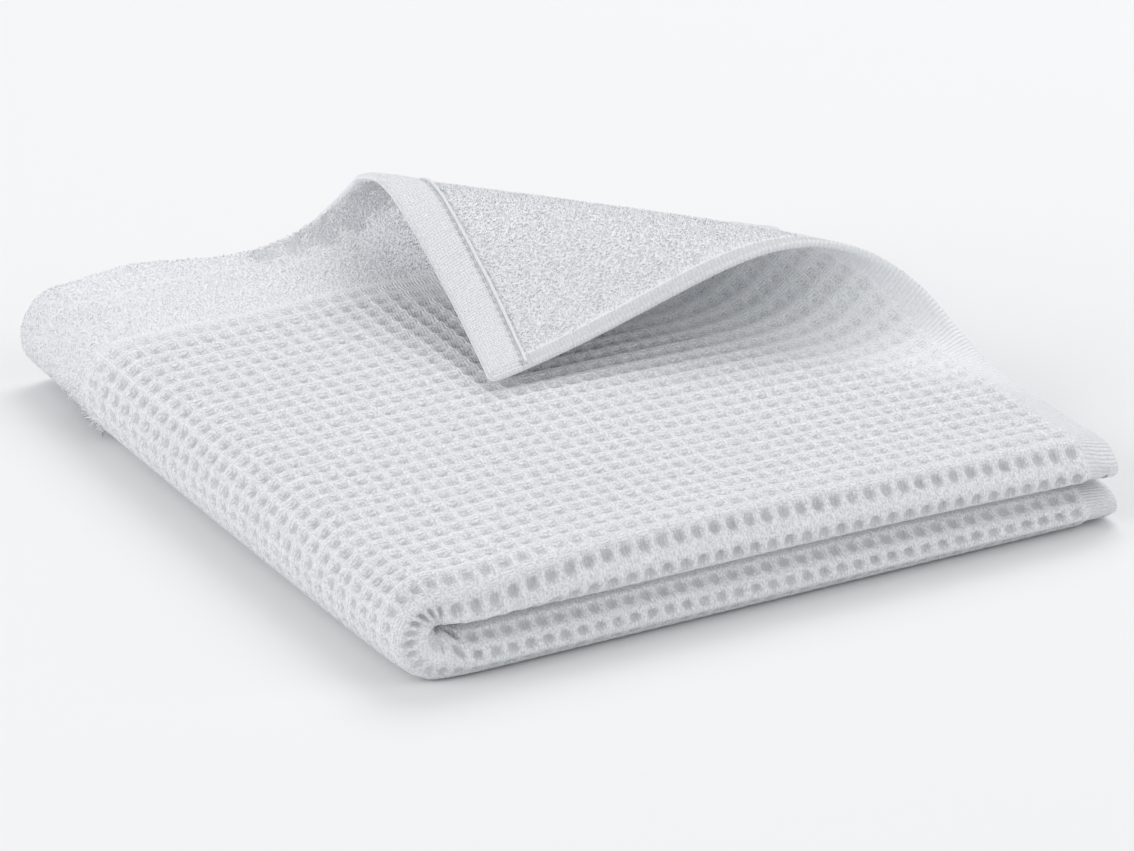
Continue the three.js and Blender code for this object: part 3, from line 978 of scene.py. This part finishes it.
def cloth_material(settings):
    nodes = Nodes("waffle_cotton")
    add, less, times, most = nodes.add, nodes.less, nodes.times, nodes.most
    cotton(nodes, settings.colour, settings.sheen)
    names = ("warp_rib", "weft_rib", "selvedge", "hem", "terry", "floor", "lifted")
    warp_rib, weft_rib, selvedge, hem, terry, floor, lifted = map(nodes.attribute, names)

    # The weaves: 1 on a thread, rib or dot, and 0 between them.
    warp = thread_lines(nodes, "X", settings.thread, 2.2)
    weft = thread_lines(nodes, "Y", settings.thread, 2.2)
    threads = add(times(warp, less(1.0, weft_rib)), times(weft, less(1.0, warp_rib)))
    plain = less(1.0, most(selvedge, most(hem, terry)))
    ribbed = times(thread_lines(nodes, "Y", BAR_PITCH), selvedge)
    dots = times(thread_lines(nodes, "Y", HEM_WEAVE), thread_lines(nodes, "X", HEM_WEAVE))
    dotted = times(dots, hem)
    cells_across = thread_lines(nodes, "X", CELL_ACROSS, 0.2)
    cells_along = thread_lines(nodes, "Y", CELL_ALONG, 0.2)
    inner = times(times(cells_across, cells_along), nodes.attribute("inner_waffle"))
    fibres = nodes.fibres(2300.0, 3.0)

    height = times(threads, plain)
    height = add(height, times(ribbed, RIB_RELIEF))
    height = add(height, times(dotted, DOT_RELIEF))
    height = add(height, times(fibres, add(FIBRE_RELIEF, terry)))
    height = less(height, times(inner, INNER_RELIEF))
    nodes.bump(height, settings.thread_relief, 0.00026)

    # The greyer places: painted shade between threads and ribs and on pit floors, the hem's holes
    # and stitches, and the grain of the yarn's wear.
    painted_gap_shade = times(less(1.05, threads), add(PAINTED_SHADE_IN_GAPS, times(floor, PAINTED_SHADE_IN_PIT_GAPS)))
    # Painted pit shade on the inner layers' cells, and painted shade between the selvedge's ribs.
    painted_gap_shade = add(times(painted_gap_shade, plain), times(inner, PAINTED_SHADE_IN_INNER_CELLS))
    painted_gap_shade = add(painted_gap_shade, times(less(selvedge, ribbed), PAINTED_SHADE_BETWEEN_RIBS))
    stitches = times(thread_lines(nodes, "X", STITCH), nodes.attribute("stitches"))
    holes = add(times(less(hem, dotted), HOLE_TONE), times(stitches, STITCH_TONE))
    # Painted shade on the pit floors and between the threads, with the hem's holes and stitches;
    # lighter on the lifted layer as painted light.
    woven = add(times(floor, PAINTED_SHADE_IN_PITS), add(painted_gap_shade, holes))
    woven = times(woven, less(1.0, times(lifted, PAINTED_LIGHT_ON_LIFTED_SHADE)))
    grain = nodes.mix("FLOAT", warp_rib, streaks(nodes, GRAIN), streaks(nodes, GRAIN[::-1]))
    wear_and_painted_light = times(less(1.0, add(fibres, grain)), GRAIN_TONE)
    wear_and_painted_light = times(wear_and_painted_light, less(1.0, most(times(selvedge, 0.65), times(hem, 0.5))))
    wear_and_painted_light = add(wear_and_painted_light, less(COTTON_TONE, times(hem, HEM_PALER)))
    # Painted light on the single lifted layer: its grain and cotton tone are lighter.
    wear_and_painted_light = less(wear_and_painted_light, times(lifted, PAINTED_LIGHT_ON_LIFTED_LAYER))

    colour = shaded_colour(nodes, settings.colour, add(woven, wear_and_painted_light))
    looped = nodes.mix("RGBA", terry, colour, (*settings.yarn_colour, 1.0))
    nodes.link(looped, nodes.shader.inputs["Base Color"])
    return nodes.material


def yarn_material(name, settings, colour):
    nodes = Nodes(name)
    cotton(nodes, colour, settings.sheen)
    nodes.bump(nodes.fibres(3500.0, 2.0), 0.5, 0.0001)
    tone = nodes.times(nodes.attribute("tone"), YARN_TONE)
    shaded = shaded_colour(nodes, colour, tone)
    nodes.link(shaded, nodes.shader.inputs["Base Color"])
    return nodes.material


# ---- Sizes and colours that a user would change ----


class TowelSettings(bpy.types.PropertyGroup):
    pit_depth: bpy.props.FloatProperty(
        name="Waffle depth", description="From the crown of a rib to the floor of a pit",
        default=0.00112, min=0.0, max=0.0015, unit="LENGTH", precision=5,
    )
    thread: bpy.props.FloatProperty(
        name="Thread pitch", description="Distance between threads, in millimetres on the sheet",
        default=0.58, min=0.2, max=1.0,
    )
    thread_relief: bpy.props.FloatProperty(
        name="Thread relief", description="How strongly the threads show",
        default=0.55, min=0.0, max=1.0, subtype="FACTOR",
    )
    loop_height: bpy.props.FloatProperty(
        name="Loop height", description="Height of a terry loop",
        default=0.00034, min=0.0002, max=0.003, unit="LENGTH", precision=5,
    )
    loop_spacing: bpy.props.FloatProperty(
        name="Loop spacing", description="Distance between terry loops",
        default=0.0005, min=0.0004, max=0.003, unit="LENGTH", precision=5,
    )
    yarn_radius: bpy.props.FloatProperty(
        name="Yarn radius", description="Half the thickness of the loop yarn",
        default=0.00012, min=0.00005, max=0.0005, unit="LENGTH", precision=5,
    )
    colour: bpy.props.FloatVectorProperty(
        name="Cotton", description="Colour of the bleached cotton", subtype="COLOR",
        default=(0.95, 0.965, 0.985), min=0.0, max=1.0,
    )
    yarn_colour: bpy.props.FloatVectorProperty(
        name="Loop yarn", description="Colour of the looser yarn of the loops", subtype="COLOR",
        default=(0.955, 0.968, 0.992), min=0.0, max=1.0,
    )
    sheen: bpy.props.FloatProperty(
        name="Fuzz sheen", description="Soft light from the fibres at grazing angles",
        default=0.25, min=0.0, max=1.0, subtype="FACTOR",
    )


class StageSettings(bpy.types.PropertyGroup):
    floor_colour: bpy.props.FloatVectorProperty(
        name="Floor", description="Colour of the pale studio floor", subtype="COLOR",
        default=(0.9, 0.9, 0.9), min=0.0, max=1.0,
    )
    daylight: bpy.props.FloatProperty(
        name="Even light", description="Light that comes evenly from all round",
        default=0.55, min=0.0, max=3.0,
    )
    key: bpy.props.FloatProperty(
        name="Back softbox", description="Power of the high softbox behind on the right, in watts",
        default=6.1, min=0.0, max=200.0, subtype="POWER",
    )
    side: bpy.props.FloatProperty(
        name="Left softbox", description="Power of the softbox on the left, in watts",
        default=5.5, min=0.0, max=200.0, subtype="POWER",
    )
    fill: bpy.props.FloatProperty(
        name="Front softbox", description="Power of the softbox in front on the right, in watts",
        default=3.2, min=0.0, max=200.0, subtype="POWER",
    )


# ---- Operators ----

ONE_WAY = 0.85  # share of the weave that runs one way only where the cloth bends
PAINTED_SHADE_BETWEEN_BARS = 0.6  # how grey the painted shade makes the selvedge between its yarns


class TOWEL_OT_cloth(bpy.types.Operator):
    """Build the folded waffle sheet with its hems and selvedges"""

    bl_idname = "towel.cloth"
    bl_label = "Folded cloth"

    def execute(self, context):
        settings = context.scene.towel_settings
        mesh = sheet_mesh()
        i, j, side = mesh_points(mesh).T
        s, t, i, j = on_sheet(i, j)
        face, floor = face_offset(i, j, s, t, settings.pit_depth / MM)
        face_up = side > 0
        offset = np.where(face_up, face, back_offset(s, t)) - puckered(s, t)
        places = place_on_towel(*eased_weave(*rounded_corners(s, t)), offset)
        mesh.vertices.foreach_set("co", places.astype(np.float32).ravel())
        mesh.update()
        a, b = np.abs(i - np.round(i)), np.abs(j - np.round(j))
        selvedge, hem, terry = masks(s, t, np.where(face_up, FACE_SELVEDGE, SELVEDGE_WIDTH))
        waffle = np.where(in_waffle(i, j), 1 - selvedge, 0)
        warp_rib = smooth((0.3 - a) / 0.2)
        weft_rib = smooth((0.3 - b) / 0.2) * smooth(a / 0.3)
        spine, front = ONE_WAY * round_spine(s), ONE_WAY * round_front(t)
        past = past_lift(s, t)
        barred = smooth(past / 4) * smooth((WIDTH - s - 0.5) / 0.5) * (t < OUTER_RUN)
        # Painted shade on the back selvedge between its yarns.
        bar_gap_shade = PAINTED_SHADE_BETWEEN_BARS * selvedge * (1 - hem) * barred
        single = smooth((past + 2) / 12) * (s >= UPPER_START) * (t <= OUTER_RUN)
        inner = face_up & (j > LAST_ROW) & (t < LENGTH - TERRY_BAND)
        for name, values in (
            ("warp_rib", waffle * np.maximum(warp_rib * (1 - spine), front)),
            ("weft_rib", waffle * np.maximum(weft_rib * (1 - front), spine)),
            # The lifted layer, where painted light stands for light coming through the single
            # layer.
            ("lifted", single * face_up),
            # On the face, the pits' painted shade; on the back, painted shade between the
            # selvedge's yarns.
            ("floor", np.where(face_up, floor, bar_gap_shade)),
            ("selvedge", selvedge * (1 - hem)),
            ("hem", np.where(face_up, 0, hem)),
            ("terry", np.where(face_up, np.maximum(terry, hem), (1 - selvedge) * (1 - hem))),
            ("inner_waffle", inner * (1 - selvedge)),
            ("stitches", bell((t - HEM_BAND + 0.6) / 0.5) * ~face_up),
        ):
            add_attribute(mesh, name, values)
        add_uv_map(mesh, "threads", np.stack([s, t], -1))
        shown_object("waffle_cloth", mesh, cloth_material(settings), replaced=["towel"])
        return {"FINISHED"}


class TOWEL_OT_terry(bpy.types.Operator):
    """Stand the terry loops on the curled corner's back and on the band behind the hem"""

    bl_idname = "towel.terry"
    bl_label = "Terry loops"

    def execute(self, context):
        settings = context.scene.towel_settings
        height = settings.loop_height
        sizes = np.array([height * LOOP_WIDER, height, settings.yarn_radius]) / MM
        spacing = settings.loop_spacing / MM
        material = yarn_material("terry_yarn", settings, settings.yarn_colour)

        def stand(name, s, t, rng, side, level, drawn_out=1.0):
            mesh = loops_mesh(name, s, t, rng, side, level - LOOP_SUNK, sizes, drawn_out)
            shown_object(name, mesh, material)

        across = (UPPER_START, WIDTH - BACK_SELVEDGE)
        s, t, rng = scattered(across, (HEM_BAND + 0.6, OUTER_RUN), spacing, 21)
        past = past_lift(s, t)
        middle = np.median(past[past > 1.0])
        foot, tip = (past > 1.0) & (past <= middle), past > middle
        stand("corner_loops_foot", s[foot], t[foot], rng, -1, TERRY_BASE)
        stand("corner_loops_tip", s[tip], t[tip], rng, -1, TERRY_BASE)
        sizes[1] *= BAND_LOOP
        across = (FLAT_ACROSS - 4, WIDTH - SELVEDGE_WIDTH - 0.2)
        s, t, rng = scattered(across, (HEM_BAND + 0.3, TERRY_BAND + 0.5), spacing, 22)
        low_spine = bell((s - FLAT_ACROSS - 7) / 4) * smooth((s - FLAT_ACROSS - 2) / 4)
        pulled = low_spine * smooth((t - 13) / 8) * rng.random(len(s)) ** 2
        stand("band_loops", s, t, rng, 1, band_level(t), 1 + PULLED_OUT * pulled)
        s, t, rng = scattered(across, (0.8, HEM_BAND + 0.3), spacing, 23)
        stand("hem_loops", s, t, rng, 1, TERRY_BASE)
        return {"FINISHED"}


class TOWEL_OT_seams(bpy.types.Operator):
    """Lay the hem's stitched ridge and the selvedge's weft yarns on the curled corner's back"""

    bl_idname = "towel.seams"
    bl_label = "Hem seam and selvedge"

    def execute(self, context):
        settings = context.scene.towel_settings
        seam_yarn, bar_yarn = (
            yarn_material(name, settings, [tone * channel for channel in settings.colour])
            for name, tone in (("seam_yarn", SEAM_TONE), ("selvedge_yarn", BAR_TONE))
        )
        s = np.arange(UPPER_START, WIDTH - 0.3, 0.3)
        s = s[past_lift(s, HEM_BAND) > -3]
        stitches = 0.5 + 0.5 * np.cos(2 * math.pi * s / STITCH)
        radii = SEAM_RADIUS + 0.05 * stitches + 0.03 * drift(s, s, 1.1, 31)
        t = HEM_BAND + 0.3 + 0.12 * drift(s, s, 7.0, 32)
        mesh = tube_mesh("hem_seam", s, t, np.full(len(s), SEAM_LEVEL), radii)
        add_attribute(mesh, "tone", np.zeros(len(mesh.vertices)))
        shown_object("hem_seam", mesh, seam_yarn)
        rng = np.random.default_rng(33)
        t = np.arange(HEM_BAND + 1.4, OUTER_RUN, BAR_PITCH)
        t = t[past_lift(WIDTH, t) > 2]
        count = len(t)
        length = BACK_SELVEDGE - 0.7 + rng.uniform(-0.2, 0.9, count)
        thickness = [rng.uniform(0.9, 1.1, count), rng.uniform(0.9, 1.1, count)]
        mesh = strewn_mesh(
            "selvedge_yarns",
            yarn_template(BAR_PATH, BAR_LENGTH, BAR_RISE, BAR_YARN, BAR_SIDES),
            (WIDTH - 0.7 - length / 2, t + rng.uniform(-0.06, 0.06, count)),
            np.full(count, -0.5),
            rng.normal(0, 0.03, count),
            np.stack([length / BAR_LENGTH, *thickness], -1),
            np.zeros((count, 2)),
            rng,
        )
        shown_object("selvedge_yarns", mesh, bar_yarn)
        return {"FINISHED"}


# Degrees and metres; the lens is in millimetres.
CAMERA_AZIMUTH, CAMERA_ELEVATION, CAMERA_ROLL = -24.68, 22.96, -2.96
CAMERA_TARGET = (-0.0122, -0.0305, 0.01893)
CAMERA_DISTANCE = 1.5053
CAMERA_LENS = 270.5
LAMP_DISTANCE, LAMP_SIZE = 1.3, 0.9
FLOOR_HALF = 3.0
DAYLIGHT = (0.97, 0.98, 1.0, 1.0)


def towards(azimuth, elevation):
    """Unit direction. The azimuth is 0 in front and 90 degrees on the right."""
    azimuth, elevation = math.radians(azimuth), math.radians(elevation)
    flat = math.cos(elevation)
    return Vector((math.sin(azimuth) * flat, -math.cos(azimuth) * flat, math.sin(elevation)))


class TOWEL_OT_stage(bpy.types.Operator):
    """Set out the pale floor, the soft lights and the camera"""

    bl_idname = "towel.stage"
    bl_label = "Stage"

    def execute(self, context):
        scene = context.scene
        settings = scene.towel_stage
        bm = bmesh.new()
        bmesh.ops.create_grid(bm, x_segments=1, y_segments=1, size=FLOOR_HALF)
        mesh = finished_mesh(bm, "floor")
        nodes = Nodes("studio_floor")
        nodes.set("Base Color", (*settings.floor_colour, 1.0))
        nodes.set("Roughness", 0.9)
        mesh.materials.append(nodes.material)
        in_scene("floor", mesh)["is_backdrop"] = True
        world = bpy.data.worlds.new("studio")
        world.use_nodes = True
        background = world.node_tree.nodes["Background"]
        background.inputs["Color"].default_value = DAYLIGHT
        background.inputs["Strength"].default_value = settings.daylight
        scene.world = world
        lamps = (
            ("back_right", 135.0, 58.0, settings.key),
            ("left", -90.0, 28.0, settings.side),
            ("front_right", 45.0, 28.0, settings.fill),
        )
        for name, azimuth, elevation, power in lamps:
            light = bpy.data.lights.new(name, "AREA")
            light.shape, light.size, light.energy = "SQUARE", LAMP_SIZE, power
            lamp = in_scene(name, light)
            lamp.location = LAMP_DISTANCE * towards(azimuth, elevation)
            lamp.rotation_euler = (-lamp.location).to_track_quat("-Z", "Y").to_euler()
        camera = bpy.data.cameras.new("camera")
        camera.sensor_width, camera.lens = 36.0, CAMERA_LENS
        camera.clip_end = 20.0
        back = towards(CAMERA_AZIMUTH, CAMERA_ELEVATION)
        roll = Matrix.Rotation(math.radians(CAMERA_ROLL), 3, "Z")
        turn = (-back).to_track_quat("-Z", "Y").to_matrix() @ roll
        place = Vector(CAMERA_TARGET) + back * CAMERA_DISTANCE
        scene.camera = in_scene("camera", camera)
        scene.camera.matrix_world = Matrix.LocRotScale(place, turn, None)
        scene.view_settings.view_transform = "Standard"
        return {"FINISHED"}


class TOWEL_PT_panel(bpy.types.Panel):
    """Lists the towel's sizes, colours and pieces"""

    bl_label = "Guest towel"
    bl_idname = "TOWEL_PT_panel"
    bl_space_type = "VIEW_3D"
    bl_region_type = "UI"
    bl_category = "Towel"

    def draw(self, context):
        column = self.layout.column()
        for group in (context.scene.towel_settings, context.scene.towel_stage):
            for name in group.__annotations__:
                column.prop(group, name)
        for operator in OPERATORS:
            column.operator(operator.bl_idname)


OPERATORS = (TOWEL_OT_cloth, TOWEL_OT_terry, TOWEL_OT_seams, TOWEL_OT_stage)
CLASSES = (TowelSettings, StageSettings, *OPERATORS, TOWEL_PT_panel)


def register():
    for item in CLASSES:
        bpy.utils.register_class(item)
    bpy.types.Scene.towel_settings = bpy.props.PointerProperty(type=TowelSettings)
    bpy.types.Scene.towel_stage = bpy.props.PointerProperty(type=StageSettings)


def unregister():
    del bpy.types.Scene.towel_stage
    del bpy.types.Scene.towel_settings
    for item in reversed(CLASSES):
        bpy.utils.unregister_class(item)


def corners(box):
    return [list(corner) for corner in box]


def main():
    register()
    bpy.ops.towel.stage()
    bpy.ops.towel.cloth()
    bpy.ops.towel.terry()
    bpy.ops.towel.seams()
    {"cad": corners((CAD_LOW, CAD_HIGH)), "visual": corners(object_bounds())}


if __name__ == "__main__":
    main()
